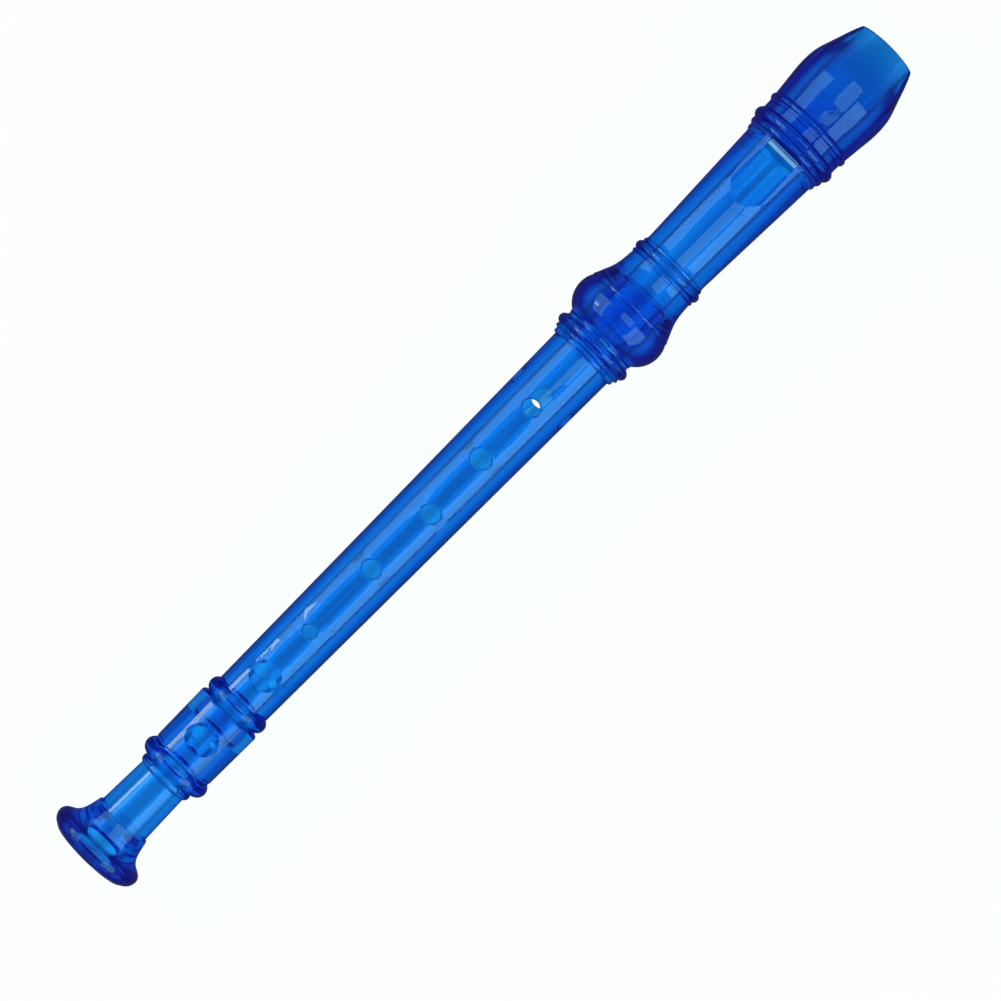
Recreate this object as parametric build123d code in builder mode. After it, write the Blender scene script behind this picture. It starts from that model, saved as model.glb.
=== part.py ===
from math import radians, tan
from build123d import *
import os

# Soprano recorder in millimetres, lying on its back: +X runs along the bore from the bell to the mouth,
# +Z is the finger-hole side, and the origin is the centre of the bell's end face.

os.makedirs("parts", exist_ok=True)

# Lengths along the bore
socket_end_x = 58.5         # the foot joint's rim
shoulder_x = 58.7           # the middle joint's shoulder that faces that rim
tube_start_x = 63.7
tube_end_x = 203.4          # the middle joint's shoulder under the head joint
head_start_x = 203.55       # the head joint's rim
bulb_x = 219.0              # the bulb's widest place
head_tube_x = 242.8
collar_x = 285.3
windway_x = 286.3           # where the windway opens into the window
beak_start_x = 298.3
beak_peak_x = 310.7
tip_x = 329.2               # the mouth end, so also the overall length

# Outside radii
bell_face_r = 12.7
rim_r = 15.38
waist_r = 8.15
foot_r = 10.42
foot_rim_r = 10.65
bead_r = 10.7
tube_low_r = 9.22
tube_high_r = 10.6
bulb_r = 15.85
head_tube_low_r = 10.92
head_tube_high_r = 12.55
beak_r = 15.25
tip_r = 10.65

# Turned rings and beads: start, end, radius at the sides and radius at the top
foot_rings = [
    (30.5, 33.1, 8.4, 9.15),
    (33.2, 38.6, 9.3, 11.65),
]
rim_rings = [
    (head_start_x, 205.0, 11.2, 11.5),
    (205.05, 206.35, 11.8, 12.3),
    (206.4, 209.75, 12.1, 13.35),
]
cove_ring = (210.9, 211.6, 11.85, 12.0)
neck_rings = [
    (236.25, 237.4, 11.4, 11.85),
    (237.5, 240.35, 11.35, 12.35),
    (240.5, 241.6, 11.25, 11.45),
]
collar_rings = [
    (collar_x, 287.0, 12.95, 13.15),
    (287.3, 289.15, 13.55, 13.9),
    (289.2, 292.7, 13.75, 14.9),
]
beak_ring = (296.0, 298.1, 13.95, 14.63)

# Tenons, sockets and bores
fit_gap = 0.05              # radial running clearance of each tenon in its socket
low_tenon_r = 8.0
low_tenon_x = 51.6          # free end of the lower tenon
high_tenon_r = 8.95
high_tenon_x = 228.0        # free end of the upper tenon
socket_relief = 0.4         # space between a tenon's free end and its socket's floor
bell_bore_r = 7.6           # wide mouth of the bell's bore, which slips over a stand's peg
bell_bore_depth = 11.3
bell_step_length = 1.6      # cone between the wide mouth and the foot's bore
foot_bore_low_r = 5.7
foot_bore_high_r = 5.1
middle_bore_low_r = 5.0
middle_bore_high_r = 6.2
head_bore_r = 6.7
bore_lead = 0.5             # rounding of the tenons' free ends

# Windway, window and block
block_r = 9.0
block_gap = 0.04
exit_chamfer = 0.7
block_chamfer = 0.9         # slope on the block's lip, which stands that far into the window
block_x = windway_x - block_chamfer
floor_exit_z = 6.3
floor_tip_z = 6.6
roof_exit_z = 7.3
roof_tip_z = 7.9
windway_exit_width = 10.1
windway_tip_width = 11.3
labium_x = 282.1
labium_z = 6.95
ramp_end_x = 266.2
ramp_end_z = 11.7
ramp_wide_x = 271.4
window_draft = 2.0          # the window's sides lean apart by this many degrees as they rise
window_exit_width = 9.6     # window widths are at the height of the bore's axis
window_ramp_width = 11.2
ramp_relief_x = 264.6       # under the ramp the bore's roof is flatter, from here to the labium
ramp_relief_top_z = 6.6
ramp_relief_side_z = 5.1
ramp_relief_low_z = 4.0
ramp_relief_width = 10.0

# Beak underside: a nearly straight, slightly hollow slope from the back of the beak up to the thin tip
scoop_start = (300.8, -15.4)
scoop_middle = (315.2, -4.7)
scoop_tip_z = 4.7

# Finger holes: place along the bore, sideways offset and radius
single_holes = [
    (182.6, 0.0, 2.6),
    (161.9, 0.0, 3.1),
    (140.5, -1.0, 2.85),
    (117.1, 0.0, 2.8),
    (91.8, 0.0, 2.1),
]
thumb_hole_x = 187.4
thumb_hole_r = 3.15
hole_edge_r = 0.35

# Each pair of holes sits in an oval dish: the dish's place and half sizes along and across the bore,
# then its holes by their place from the dish's centre, sideways offset and radius
middle_dish_x = 73.65
middle_dish_size = (4.6, 4.95)
middle_pair = [(0.3, 2.1, 2.1), (-0.4, -2.9, 1.4)]
foot_dish_x = 47.85
foot_dish_size = (4.65, 5.3)
foot_pair = [(0.5, 2.3, 2.15), (0.75, -3.2, 1.05)]
dish_floor_length = 5.3
dish_rise = 0.95            # how far the floor ramps up at each end of a dish
dish_wall = 0.45            # height of a dish's wall at its sides
past = 2.0                  # how far a cutter runs past the surface it leaves by
touching = 1e-4


def joined(curves):
    """Close an outline by drawing straight lines wherever two neighbouring curves do not meet."""
    for before, after in zip(curves, curves[1:] + curves[:1]):
        if (before @ 1 - after @ 0).length > touching:
            Line(before @ 1, after @ 0)


def crown(start_x, end_x, side_r, top_r):
    """The rounded top of a turned ring or bead, from one side to the other."""
    return ThreePointArc((start_x, side_r), ((start_x + end_x) / 2, top_r), (end_x, side_r))


def crossed(side_points, plan_points, draft=0.0):
    """In the active part, the solid with this side outline (X, Z) and, at the axis, this plan (X, Y)."""
    height = max(z for _, z in side_points)
    width = max(abs(y) for _, y in plan_points) + height * tan(radians(draft))
    with BuildSketch(Plane.XZ) as side:
        with BuildLine():
            Polyline(side_points, close=True)
        make_face()
    extrude(side.sketch, amount=width, both=True)
    with BuildSketch(Plane.XY) as plan:
        with BuildLine():
            Polyline(plan_points, close=True)
        make_face()
    extrude(plan.sketch, amount=height, taper=-draft, mode=Mode.INTERSECT)


def dish(centre_x, body_r, dish_size):
    """In the active part, cut the oval recess of a hole pair: a flat floor whose two ends ramp up."""
    half_length, half_width = dish_size
    floor_z = (body_r**2 - half_width**2) ** 0.5 - dish_wall
    half_floor = dish_floor_length / 2
    with BuildPart(mode=Mode.PRIVATE) as cutter:
        with BuildSketch(Plane.XZ):
            with BuildLine():
                Polyline(
                    (centre_x - half_floor, floor_z),
                    (centre_x + half_floor, floor_z),
                    (centre_x + half_length, floor_z + dish_rise),
                    (centre_x + half_length, body_r + past),
                    (centre_x - half_length, body_r + past),
                    (centre_x - half_length, floor_z + dish_rise),
                    close=True,
                )
            make_face()
        extrude(amount=half_width, both=True)
        with BuildSketch(Plane.XY):
            with Locations((centre_x, 0)):
                Ellipse(half_length, half_width)
        extrude(amount=body_r + past, mode=Mode.INTERSECT)
    add(cutter.part, mode=Mode.SUBTRACT)


def tone_hole(centre_x, offset_y, radius, reach):
    """In the active part, drill from the bore's axis outwards, down when reach is negative."""
    with BuildSketch(Plane.XY) as hole:
        with Locations((centre_x, offset_y)):
            Circle(radius)
    extrude(hole.sketch, amount=reach, mode=Mode.SUBTRACT)


def hole_pair(dish_x, pair, body_r):
    """In the active part, drill the two holes of a dish."""
    for offset_x, offset_y, radius in pair:
        tone_hole(dish_x + offset_x, offset_y, radius, body_r)


def d_plug(radius, start_x, lift):
    """In the active part, a round bar from start_x to the mouth with its top cut to the windway's floor."""
    with BuildSketch(Plane.YZ.offset(start_x)) as round_bar:
        Circle(radius)
    extrude(round_bar.sketch, amount=tip_x + past - start_x)
    floor = Plane(
        origin=(windway_x, 0, floor_exit_z + lift),
        x_dir=(tip_x - windway_x, 0, floor_tip_z - floor_exit_z),
        z_dir=(floor_exit_z - floor_tip_z, 0, tip_x - windway_x),
    )
    split(bisect_by=floor, keep=Keep.BOTTOM)


# Cutters shared by the head joint and the block

with BuildPart() as scoop:
    with BuildSketch(Plane.XZ):
        with BuildLine():
            under = ThreePointArc(scoop_start, scoop_middle, (tip_x, scoop_tip_z))
            run_out = Polyline((tip_x + past, scoop_tip_z), (tip_x + past, scoop_start[1]))
            joined([under, run_out])
        make_face()
    extrude(amount=beak_r + past, both=True)

with BuildPart() as seat:
    d_plug(block_r + block_gap, block_x - block_gap, block_gap)

with BuildPart() as windway:
    crossed(
        [
            (windway_x, floor_exit_z),
            (windway_x, roof_exit_z + exit_chamfer),
            (windway_x + exit_chamfer, roof_exit_z),
            (tip_x + past, roof_tip_z),
            (tip_x + past, floor_tip_z),
        ],
        [
            (windway_x, -windway_exit_width / 2),
            (windway_x, windway_exit_width / 2),
            (tip_x + past, windway_tip_width / 2),
            (tip_x + past, -windway_tip_width / 2),
        ],
    )

ramp_slope = (ramp_end_z - labium_z) / (ramp_end_x - labium_x)
ramp_start_x = ramp_end_x - 2 * past
with BuildPart() as window:
    crossed(
        [
            (windway_x, 0),
            (labium_x, 0),
            (labium_x, labium_z),
            (ramp_start_x, labium_z + ramp_slope * (ramp_start_x - labium_x)),
            (ramp_start_x, beak_r),
            (windway_x, beak_r),
        ],
        [
            (windway_x + past, -window_exit_width / 2),
            (windway_x + past, window_exit_width / 2),
            (ramp_wide_x, window_ramp_width / 2),
            (ramp_start_x, window_ramp_width / 2),
            (ramp_start_x, -window_ramp_width / 2),
            (ramp_wide_x, -window_ramp_width / 2),
        ],
        window_draft,
    )

with BuildPart() as ramp_relief:
    half_width = ramp_relief_width / 2
    with BuildSketch(Plane.YZ.offset(ramp_relief_x)) as roof:
        with BuildLine():
            ThreePointArc(
                (-half_width, ramp_relief_side_z), (0, ramp_relief_top_z), (half_width, ramp_relief_side_z)
            )
            Polyline(
                (half_width, ramp_relief_side_z),
                (half_width, ramp_relief_low_z),
                (-half_width, ramp_relief_low_z),
                (-half_width, ramp_relief_side_z),
            )
        make_face()
    extrude(amount=labium_x + past / 2 - ramp_relief_x)

# Foot joint: bell, waist, two beads and the socket

with BuildPart() as foot_joint:
    with BuildSketch(Plane.XZ):
        with BuildLine():
            bell_step_x = bell_bore_depth + bell_step_length
            socket_floor_x = low_tenon_x - socket_relief
            socket_r = low_tenon_r + fit_gap
            joined(
                [
                    Line((0, bell_face_r), (1.0, 14.17)),
                    ThreePointArc((1.0, 14.17), (2.2, 15.08), (3.6, rim_r)),
                    ThreePointArc((3.6, rim_r), (4.8, 15.0), (5.4, 14.36)),
                    Spline(
                        [(6.0, 13.35), (7.0, 11.92), (8.4, 10.87), (14.0, 9.3), (30.4, waist_r)],
                        tangents=[(0.5, -1), (1, -0.03)],
                    ),
                    *[crown(*ring) for ring in foot_rings],
                    Line((38.6, foot_r - 0.15), (38.9, foot_r - 0.15)),
                    Line((39.4, foot_r), (57.6, foot_rim_r)),
                    ThreePointArc((57.6, foot_rim_r), (58.25, 10.25), (socket_end_x, 9.7)),
                    Line((socket_end_x, socket_r + 0.3), (socket_end_x - 0.3, socket_r)),
                    Line((socket_floor_x, socket_r), (socket_floor_x, foot_bore_high_r)),
                    Line((bell_step_x, foot_bore_low_r), (bell_bore_depth, bell_bore_r)),
                    Line((0, bell_bore_r), (0, bell_face_r)),
                ]
            )
        make_face()
    revolve(axis=Axis.X)
    dish(foot_dish_x, (foot_r + foot_rim_r) / 2, foot_dish_size)
    hole_pair(foot_dish_x, foot_pair, foot_rim_r)
foot_joint.part.label = "foot_joint"

# Middle joint: two tenons, the bead, the tapered tube and its holes

with BuildPart() as middle_joint:
    with BuildSketch(Plane.XZ):
        with BuildLine():
            joined(
                [
                    Line((low_tenon_x, low_tenon_r - bore_lead), (low_tenon_x + bore_lead, low_tenon_r)),
                    Line((shoulder_x, low_tenon_r), (shoulder_x, 8.9)),
                    crown(shoulder_x + 0.1, tube_start_x, 9.0, bead_r),
                    Line((tube_start_x, tube_low_r), (tube_end_x, tube_high_r)),
                    Line((tube_end_x, high_tenon_r), (high_tenon_x - bore_lead, high_tenon_r)),
                    Line((high_tenon_x, high_tenon_r - bore_lead), (high_tenon_x, middle_bore_high_r)),
                    Line((low_tenon_x, middle_bore_low_r), (low_tenon_x, low_tenon_r - bore_lead)),
                ]
            )
        make_face()
    revolve(axis=Axis.X)
    for hole_x, hole_y, hole_r in single_holes:
        tone_hole(hole_x, hole_y, hole_r, tube_high_r + past)
    tone_hole(thumb_hole_x, 0, thumb_hole_r, -tube_high_r - past)
    outside_edges = (
        middle_joint.edges()
        .filter_by(GeomType.BSPLINE)
        .filter_by(lambda edge: abs(edge.center().Z) > (tube_low_r + middle_bore_high_r) / 2)
    )
    fillet(outside_edges, radius=hole_edge_r)
    dish(middle_dish_x, tube_low_r, middle_dish_size)
    hole_pair(middle_dish_x, middle_pair, tube_high_r)
middle_joint.part.label = "middle_joint"

# Head joint: rings, bulb, head tube, collar and beak in one turned outline, then the cuts

with BuildPart() as head_joint:
    with BuildSketch(Plane.XZ):
        with BuildLine():
            socket_floor_x = high_tenon_x + socket_relief
            socket_r = high_tenon_r + fit_gap
            joined(
                [
                    *[crown(*ring) for ring in rim_rings],
                    Line((210.2, 11.75), (210.8, 11.75)),
                    crown(*cove_ring),
                    ThreePointArc((211.7, 12.0), (bulb_x, bulb_r), (222.8, 15.0)),
                    ThreePointArc((223.0, 14.74), (223.6, 14.82), (224.3, 14.5)),
                    Spline(
                        [(224.4, 14.45), (225.5, 14.0), (229.0, 12.53), (236.2, 11.45)],
                        tangents=[(1, -0.42), (1, -0.08)],
                    ),
                    *[crown(*ring) for ring in neck_rings],
                    Line((241.7, 11.05), (head_tube_x, head_tube_low_r)),
                    Line((collar_x, head_tube_high_r), (collar_x, 12.9)),
                    *[crown(*ring) for ring in collar_rings],
                    Line((292.8, 13.85), (296.0, 13.9)),
                    crown(*beak_ring),
                    Line((beak_start_x, 14.15), (306.6, 15.02)),
                    ThreePointArc((306.6, 15.02), (beak_peak_x, beak_r), (314.8, 14.95)),
                    Spline(
                        [(314.8, 14.95), (319.0, 13.75), (325.2, 11.7), (tip_x - 0.6, tip_r + 0.15)],
                        tangents=[(1, -0.18), (1, -0.26)],
                    ),
                    ThreePointArc((tip_x - 0.6, tip_r + 0.15), (tip_x - 0.15, tip_r - 0.1), (tip_x, tip_r - 0.5)),
                    Line((tip_x, 0), (block_x, 0)),
                    Line((block_x, head_bore_r), (socket_floor_x, head_bore_r)),
                    Line((socket_floor_x, socket_r), (head_start_x + 0.4, socket_r)),
                    Line((head_start_x, socket_r + 0.4), (head_start_x, rim_rings[0][2])),
                ]
            )
        make_face()
    revolve(axis=Axis.X)
    add(seat.part, mode=Mode.SUBTRACT)
    add(windway.part, mode=Mode.SUBTRACT)
    add(window.part, mode=Mode.SUBTRACT)
    add(ramp_relief.part, mode=Mode.SUBTRACT)
    add(scoop.part, mode=Mode.SUBTRACT)
head_joint.part.label = "head_joint"

# Block: the plug whose flat top is the windway's floor

with BuildPart() as block:
    d_plug(block_r, block_x, 0)
    with BuildSketch(Plane.YZ.offset(tip_x)):
        Circle(block_r + past)
    extrude(amount=2 * past, mode=Mode.SUBTRACT)
    add(scoop.part, mode=Mode.SUBTRACT)
    exit_edge = block.faces().sort_by(Axis.X)[0].edges().sort_by(Axis.Z)[-1]
    chamfer(exit_edge, length=block_chamfer)
block.part.label = "block"

for piece in (foot_joint, middle_joint, head_joint, block):
    export_step(piece.part, f"parts/{piece.part.label}.step")
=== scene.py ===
import math

import bpy
from mathutils import Euler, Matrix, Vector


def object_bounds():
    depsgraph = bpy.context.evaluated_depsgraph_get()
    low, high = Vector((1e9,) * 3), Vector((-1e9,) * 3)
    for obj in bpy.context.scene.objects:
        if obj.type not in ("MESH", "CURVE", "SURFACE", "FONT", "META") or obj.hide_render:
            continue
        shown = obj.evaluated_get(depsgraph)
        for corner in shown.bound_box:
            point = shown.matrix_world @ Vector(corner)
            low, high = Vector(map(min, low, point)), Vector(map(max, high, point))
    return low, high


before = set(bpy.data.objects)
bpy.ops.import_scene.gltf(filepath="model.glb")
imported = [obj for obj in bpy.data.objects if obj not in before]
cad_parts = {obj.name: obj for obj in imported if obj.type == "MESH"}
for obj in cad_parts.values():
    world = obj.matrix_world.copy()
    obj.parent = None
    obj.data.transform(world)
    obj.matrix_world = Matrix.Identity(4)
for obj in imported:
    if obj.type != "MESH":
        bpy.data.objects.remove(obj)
cad_low, cad_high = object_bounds()

# Lengths are in metres unless a name or comment says otherwise

# Stage
FLOOR_SIZE = 6.0            # half the floor's side
FLOOR_GAP = 0.0002          # space under the part, so that the two surfaces never coincide
FLOOR_COLOUR = (0.12, 0.12, 0.12, 1)
FLOOR_GLOW = 0.95           # the floor's own light, which keeps it white beside the plastic
FLOOR_SLANTED_GLOW = 0.26   # the same for a ray that leaves the plastic at a slant
FLOOR_SLANT = 0.25          # such a ray's steepness, where 1 is straight down
FLOOR_STEEP = 0.80          # from here on a ray sees the full glow
FLOOR_SHADED = 0.62         # share of the floor's glow left straight under the bore: a painted shadow of the part
FLOOR_SHADE_WIDTH = 0.0065  # how far that shade reaches to each side
FLOOR_MIRRORED = 0.02       # share of the floor's light that mirrors off the plastic's outside
BACKDROP = 1.0              # the world as the camera sees it
SKY_LOW = 0.2               # the world as the part sees it, at the horizon
SKY_HIGH = 0.06             # and above SKY_TURN, the sine of a height above it
SKY_TURN = 0.45

# Softboxes face the bore's axis: tilt from straight above in degrees, distance, centre and length along X,
# width as seen from the axis in degrees, brightness and colour
LAMP_COLOUR = (0.60, 1.55, 1.75)
CORE_COLOUR = (1.0, 1.05, 1.0)
SOFTBOXES = {
    "softbox_left": (54.0, 0.8, -0.045, 0.99, 33.0, 1.15, LAMP_COLOUR),
    "softbox_left_core": (62.0, 0.79, -0.06, 0.14, 13.0, 4.6, CORE_COLOUR),
    "softbox_right": (-52.0, 0.8, -0.045, 0.99, 35.0, 1.4, LAMP_COLOUR),
    "overhead": (-13.0, 1.7, 0.63, 0.80, 34.0, 1.0, LAMP_COLOUR),
}

# Camera: straight above, rolled so that the mouth end points up and to the right
CAMERA_PLACE = (0.1574, -0.0125, 0.875)
CAMERA_ROLL = -45.24        # degrees
LENS = 108.1                # millimetres
SENSOR = 36.0               # millimetres
NEAREST = 0.01
FARTHEST = 20
LIGHT_BOUNCES = 24
MIRROR_BOUNCES = 12

# Moulding grain: noise features per metre, height of the bumps, and how strongly they show
WAVE_SCALE = 260.0
WAVE_HEIGHT = 0.0004
WAVE_STRENGTH = 0.03
STREAK_SCALE = (12.0, 700.0, 700.0)
STREAK_HEIGHT = 0.0002
STREAK_STRENGTH = 0.14
SMUDGE_SCALE = 90.0
SMOOTHEST = 0.008
ROUGHEST = 0.04

# Plastic
IOR = 1.55
FIRST_TINT = (0.03, 0.43, 0.90, 1.0)     # colour of the light that a thin wall lets through
DYE_PER_MM = (0.24, 0.07, 0.012)         # how much more each millimetre of plastic takes away
PAINTED_SIDE_SHADE = (0.35, 0.10, 0.36, 1.0)      # painted shade: what is left of the light at the steep sides of the thick parts
THIN_SIDE_SHADE = 0.35            # share of that painted shade on the steep sides of the thin tubes
STEEP_FROM = 0.2            # a side is steep as its facing weight goes from here
STEEP_TO = 0.45             # to here
THICK_FROM = 0.0112         # distance from the bore's axis where the thick parts begin
THICK_TO = 0.0135           # and where they are fully so
BELL_END_FROM = 0.0055      # shade is painted over all the bell's end, growing from this X
BELL_END_TO = 0.0040        # to this one
# how strong that painted shade is at the bell's end
BELL_END_SHADE = 0.8
HAZE = 0.05                 # share of cloudy blue in a thin wall
THICK_HAZE = 0.14           # and in a thick one
HAZE_COLOUR = (0.012, 0.05, 0.78, 1.0)
# the haze's colour where shade is painted in
SHADED_HAZE_COLOUR = (0.10, 0.02, 0.70, 1.0)
BLOCK_HAZE_SHARE = 0.3      # the block is moulded clearer than the joints
BLOCK_DYE_SHARE = 0.5
SHADOW_COLOUR = (0.3, 0.62, 0.95, 1)
WHITE = (1.0, 1.0, 1.0, 1.0)

# Small dark marks in the upper surface: centre, turn about Z in degrees, half length and half width
MARKS = [
    ((0.1425, 0.00565, 0.0082), 0, 0.00032, 0.00028),
    ((0.0806, -0.0047, 0.0080), 8, 0.0013, 0.00016),
    ((0.0966, -0.0047, 0.0081), -20, 0.0011, 0.00016),
    ((0.0978, -0.0042, 0.0083), 35, 0.0006, 0.00014),
    ((0.2647, -0.00446, 0.0108), -52, 0.0012, 0.00022),
    ((0.2650, 0.00556, 0.0103), 0, 0.00035, 0.00030),
]
MARK_DEPTH = 0.002          # half their reach in height
MARK_CORE = 0.6             # a mark is fully dark within this share of its size
MARK_COLOUR = (0.01, 0.01, 0.06, 1.0)

# The block's lip: ground matt, and given a painted glow
LIP_BACK_X = 0.28631        # it ends where the block's flat top starts
LIP_LOW_Z = 0.0053
LIP_GRAIN_SCALE = 1400.0
LIP_DARK = (0.45, 0.75, 0.80, 1.0)
LIP_PALE = (0.75, 0.95, 0.92, 1.0)
# the lip's painted glow, light of its own
LIP_PAINTED_GLOW = 0.22

# ---------------------------------------------------------------- node helper


class Tree:
    """Adds nodes to an emptied tree. An input given a socket is linked, any other is set to the value."""

    def __init__(self, owner):
        owner.use_nodes = True
        self.nodes = owner.node_tree.nodes
        self.links = owner.node_tree.links
        self.nodes.clear()

    def add(self, kind, inputs, **settings):
        node = self.nodes.new(kind)
        for key, value in settings.items():
            setattr(node, key, value)
        for key, value in inputs.items():
            if isinstance(value, bpy.types.NodeSocket):
                self.links.new(value, node.inputs[key])
            else:
                node.inputs[key].default_value = value
        return node.outputs

    def math(self, operation, *values):
        return self.add("ShaderNodeMath", dict(enumerate(values)), operation=operation)[0]

    def split(self, vector):
        return self.add("ShaderNodeSeparateXYZ", {0: vector})

    def length(self, vector):
        return self.add("ShaderNodeVectorMath", {0: vector}, operation="LENGTH")["Value"]

    def spread(self, value, low, high, to_low=0.0, to_high=1.0, shape="LINEAR"):
        """Carry a value over from one range to another, held at its ends."""
        inputs = {"Value": value, "From Min": low, "From Max": high, "To Min": to_low, "To Max": to_high}
        return self.add("ShaderNodeMapRange", inputs, interpolation_type=shape)[0]

    def blend(self, share, a, b, data_type="RGBA"):
        inputs = {"Factor": share, "A": a, "B": b}
        return self.add("ShaderNodeMix", inputs, data_type=data_type)["Result"]

    def noise(self, vector, scale, detail):
        inputs = {"Vector": vector, "Scale": scale, "Detail": detail}
        return self.add("ShaderNodeTexNoise", inputs)["Fac"]

    def bump(self, height, distance, strength, **below):
        inputs = {"Height": height, "Distance": distance, "Strength": strength, **below}
        return self.add("ShaderNodeBump", inputs)[0]

    def mix_shaders(self, share, a, b):
        return self.add("ShaderNodeMixShader", {"Fac": share, 1: a, 2: b})[0]

    def add_shaders(self, a, b):
        return self.add("ShaderNodeAddShader", {0: a, 1: b})[0]


# ---------------------------------------------------------------- stage


def make_floor():
    """A pale lit floor. Seen through the plastic it is bright straight down and dim at a slant."""
    material = bpy.data.materials.new("pale_floor")
    tree = Tree(material)
    path = tree.add("ShaderNodeLightPath", {})
    geometry = tree.add("ShaderNodeNewGeometry", {})
    steepness = tree.split(geometry["Incoming"])["Z"]
    slant = tree.spread(steepness, FLOOR_SLANT, FLOOR_STEEP, FLOOR_SLANTED_GLOW, FLOOR_GLOW, "SMOOTHSTEP")
    # Painted shadow: seen through the plastic, the glow is dimmed in a strip straight under the bore
    aside = tree.math("ABSOLUTE", tree.split(geometry["Position"])["Y"])
    shade = tree.spread(aside, 0.0, FLOOR_SHADE_WIDTH, FLOOR_SHADED, 1.0, "SMOOTHSTEP")
    outside = tree.math("LESS_THAN", path["Transmission Depth"], 0.5)
    reflected = tree.math("MULTIPLY", outside, path["Is Reflection Ray"])
    mirrored = tree.math("MULTIPLY_ADD", reflected, FLOOR_MIRRORED - 1.0, 1.0)
    dimmed = tree.math("MULTIPLY", tree.math("MULTIPLY", slant, shade), mirrored)
    seen = tree.blend(path["Is Camera Ray"], dimmed, FLOOR_GLOW, "FLOAT")
    diffuse = tree.add("ShaderNodeBsdfDiffuse", {"Color": FLOOR_COLOUR})[0]
    glow = tree.add("ShaderNodeEmission", {"Strength": seen})[0]
    tree.add("ShaderNodeOutputMaterial", {"Surface": tree.add_shaders(diffuse, glow)})

    mesh = bpy.data.meshes.new("floor")
    z = cad_low.z - FLOOR_GAP
    corners = [(-1, -1), (1, -1), (1, 1), (-1, 1)]
    mesh.from_pydata([(FLOOR_SIZE * x, FLOOR_SIZE * y, z) for x, y in corners], [], [(0, 1, 2, 3)])
    floor = bpy.data.objects.new("floor", mesh)
    floor.data.materials.append(material)
    bpy.context.scene.collection.objects.link(floor)


def make_softbox(name, tilt_deg, distance, centre_x, length, width_deg, radiance, colour):
    light = bpy.data.lights.new(name, "AREA")
    light.shape = "RECTANGLE"
    width = 2 * distance * math.tan(math.radians(width_deg / 2))
    light.size = length
    light.size_y = width
    light.color = colour
    light.energy = radiance * math.pi * length * width
    softbox = bpy.data.objects.new(name, light)
    tilt = math.radians(tilt_deg)
    softbox.location = (centre_x, distance * math.sin(tilt), distance * math.cos(tilt))
    softbox.rotation_euler = Euler((-tilt, 0, 0))
    bpy.context.scene.collection.objects.link(softbox)


def make_world():
    """White for the camera; for the part a dim sky that is darker overhead."""
    world = bpy.data.worlds.new("studio")
    bpy.context.scene.world = world
    tree = Tree(world)
    path = tree.add("ShaderNodeLightPath", {})
    direction = tree.add("ShaderNodeTexCoord", {})["Generated"]
    sky = tree.spread(tree.split(direction)["Z"], 0.0, SKY_TURN, SKY_LOW, SKY_HIGH)
    seen = tree.blend(path["Is Camera Ray"], sky, BACKDROP, "FLOAT")
    background = tree.add("ShaderNodeBackground", {"Strength": seen})[0]
    tree.add("ShaderNodeOutputWorld", {"Surface": background})


def make_camera():
    data = bpy.data.cameras.new("camera")
    data.sensor_width = SENSOR
    data.lens = LENS
    data.clip_start = NEAREST
    data.clip_end = FARTHEST
    camera = bpy.data.objects.new("camera", data)
    camera.location = CAMERA_PLACE
    camera.rotation_euler = Euler((0, 0, math.radians(CAMERA_ROLL)))
    bpy.context.scene.collection.objects.link(camera)
    bpy.context.scene.camera = camera


# ---------------------------------------------------------------- materials


def moulding_grain(tree, place):
    """Faint waves in the surface, and streaks along the bore."""
    along = tree.add("ShaderNodeMapping", {"Vector": place, "Scale": STREAK_SCALE})[0]
    waves = tree.bump(tree.noise(place, WAVE_SCALE, 2.0), WAVE_HEIGHT, WAVE_STRENGTH)
    return tree.bump(tree.noise(along, 1.0, 2.0), STREAK_HEIGHT, STREAK_STRENGTH, Normal=waves)


def thickness_and_shade_masks(tree, place):
    """Where the plastic is thick (bell, bulb, collar and beak), and where shade is painted into its
    colour: the steep sides and the bell's end.
    """
    x, y, z = tree.split(place)
    section = tree.add("ShaderNodeCombineXYZ", {"Y": y, "Z": z})[0]
    thick = tree.spread(tree.length(section), THICK_FROM, THICK_TO, shape="SMOOTHSTEP")
    facing = tree.add("ShaderNodeLayerWeight", {"Blend": 0.5})["Facing"]
    steep = tree.spread(facing, STEEP_FROM, STEEP_TO, shape="SMOOTHSTEP")
    bell_end = tree.spread(x, BELL_END_FROM, BELL_END_TO, to_high=BELL_END_SHADE)
    # Painted shade: sides seen at a slant, and the bell's end, are given a darker colour
    thick_part_shade = tree.math("MULTIPLY", thick, tree.math("MAXIMUM", steep, bell_end))
    painted_shade = tree.math("MAXIMUM", thick_part_shade, tree.math("MULTIPLY", steep, THIN_SIDE_SHADE))
    return thick, thick_part_shade, painted_shade


def scuffs(tree, place):
    marked = 0.0
    for centre, turn, half_length, half_width in MARKS:
        inputs = {
            "Vector": place,
            "Location": centre,
            "Rotation": (0, 0, math.radians(turn)),
            "Scale": (half_length, half_width, MARK_DEPTH),
        }
        in_mark = tree.add("ShaderNodeMapping", inputs, vector_type="TEXTURE")[0]
        mark = tree.spread(tree.length(in_mark), 1.0, MARK_CORE)
        marked = tree.math("MAXIMUM", marked, mark)
    return marked


def frosted_lip_painted_glow(tree, place, surface):
    """The sloping lip of the block is ground matt, and a painted glow makes it shine."""
    x, _, z = tree.split(place)
    front = tree.math("LESS_THAN", x, LIP_BACK_X)
    high = tree.math("GREATER_THAN", z, LIP_LOW_Z)
    grain = tree.blend(tree.noise(place, LIP_GRAIN_SCALE, 3.0), LIP_DARK, LIP_PALE)
    ground = tree.add("ShaderNodeBsdfDiffuse", {"Color": grain})[0]
    # Painted glow: the lip gives off light though it is no lamp
    glow = tree.add("ShaderNodeEmission", {"Color": grain, "Strength": LIP_PAINTED_GLOW})[0]
    return tree.mix_shaders(tree.math("MULTIPLY", front, high), surface, tree.add_shaders(ground, glow))


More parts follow.
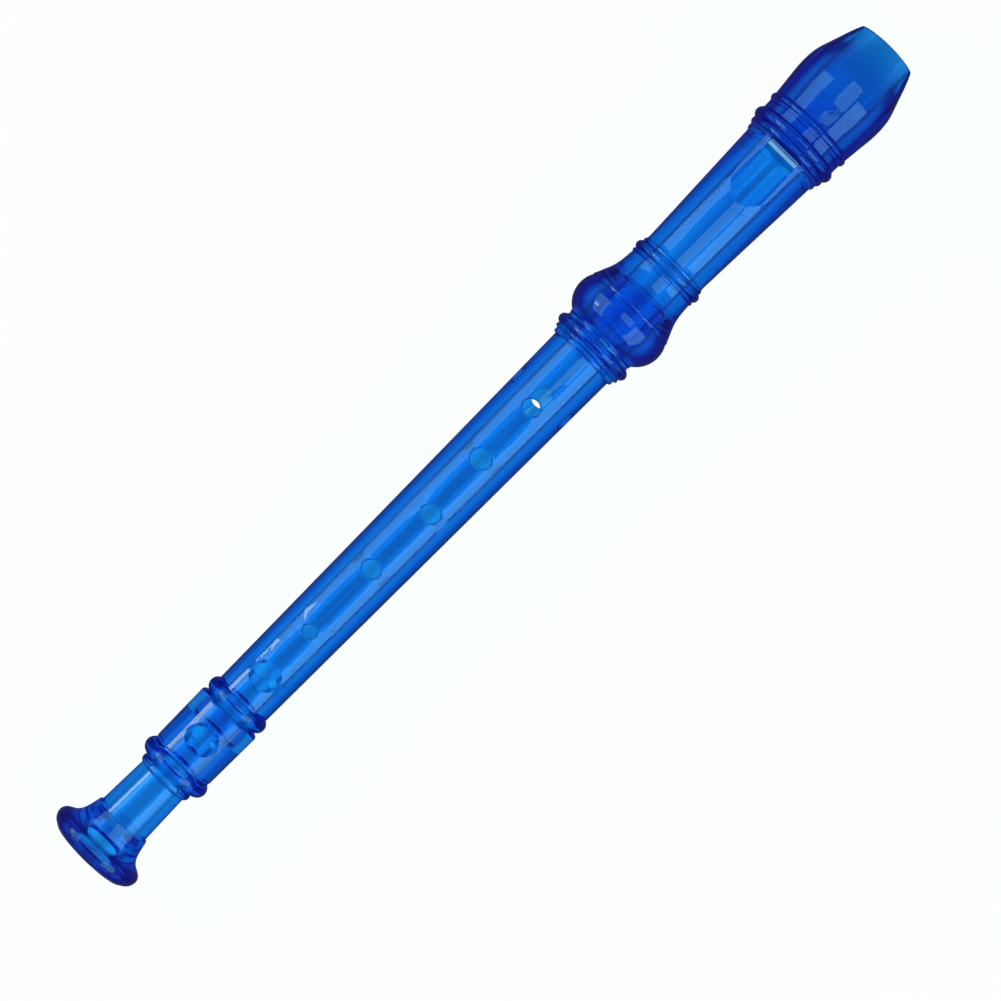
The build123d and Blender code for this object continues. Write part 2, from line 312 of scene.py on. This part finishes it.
def clear_plastic(name, haze_share=1.0, dye_share=1.0, finish_and_glow=None):
    material = bpy.data.materials.new(name)
    tree = Tree(material)
    place = tree.add("ShaderNodeTexCoord", {})["Object"]
    path = tree.add("ShaderNodeLightPath", {})
    thick, thick_part_shade, painted_shade = thickness_and_shade_masks(tree, place)

    # A thin wall already takes out nearly all the red, so the first wall a ray meets tints it once
    thin_wall = [c * c for c in FIRST_TINT]
    # Steep sides and the bell's end get a darker tint: painted shade
    shaded_wall = [(c * d) ** 2 for c, d in zip(FIRST_TINT, PAINTED_SIDE_SHADE)]
    first = tree.math("LESS_THAN", path["Transmission Depth"], 0.5)
    tint_and_shade = tree.blend(first, WHITE, tree.blend(painted_shade, thin_wall, shaded_wall))
    inputs = {
        "Base Color": tree.blend(scuffs(tree, place), tint_and_shade, MARK_COLOUR),
        "Roughness": tree.spread(tree.noise(place, SMUDGE_SCALE, 4.0), 0.0, 1.0, SMOOTHEST, ROUGHEST),
        "Normal": moulding_grain(tree, place),
        "IOR": IOR,
        "Transmission Weight": 1.0,
    }
    plastic = tree.add("ShaderNodeBsdfPrincipled", inputs)[0]

    # Where shade is painted, the haze darkens too
    cloud_and_shade_colour = tree.blend(thick_part_shade, HAZE_COLOUR, SHADED_HAZE_COLOUR)
    cloud = tree.add("ShaderNodeBsdfDiffuse", {"Color": cloud_and_shade_colour})[0]
    cloudy = tree.spread(thick, 0.0, 1.0, HAZE * haze_share, THICK_HAZE * haze_share)
    hazy = tree.mix_shaders(cloudy, plastic, cloud)
    clear = tree.add("ShaderNodeBsdfTransparent", {"Color": SHADOW_COLOUR})[0]
    surface = tree.mix_shaders(path["Is Shadow Ray"], hazy, clear)
    # A finish may add a painted glow, as the block's lip does
    if finish_and_glow:
        surface = finish_and_glow(tree, place, surface)

    per_metre = [1000 * c * dye_share for c in DYE_PER_MM]
    strongest = max(per_metre)
    let_through = [1 - c / strongest for c in per_metre] + [1.0]
    dye = tree.add("ShaderNodeVolumeAbsorption", {"Color": let_through, "Density": strongest})[0]
    tree.add("ShaderNodeOutputMaterial", {"Surface": surface, "Volume": dye})
    return material


joint_plastic = clear_plastic("clear_blue_plastic")
block_plastic = clear_plastic("clear_blue_plastic_block", BLOCK_HAZE_SHARE, BLOCK_DYE_SHARE, frosted_lip_painted_glow)
for name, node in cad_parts.items():
    for slot in node.material_slots:
        slot.material = block_plastic if name == "block" else joint_plastic

make_floor()
for name, settings in SOFTBOXES.items():
    make_softbox(name, *settings)
make_world()
make_camera()

scene = bpy.context.scene
scene.view_settings.view_transform = "Standard"
scene.cycles.max_bounces = LIGHT_BOUNCES
scene.cycles.transmission_bounces = LIGHT_BOUNCES
scene.cycles.transparent_max_bounces = LIGHT_BOUNCES
scene.cycles.glossy_bounces = MIRROR_BOUNCES
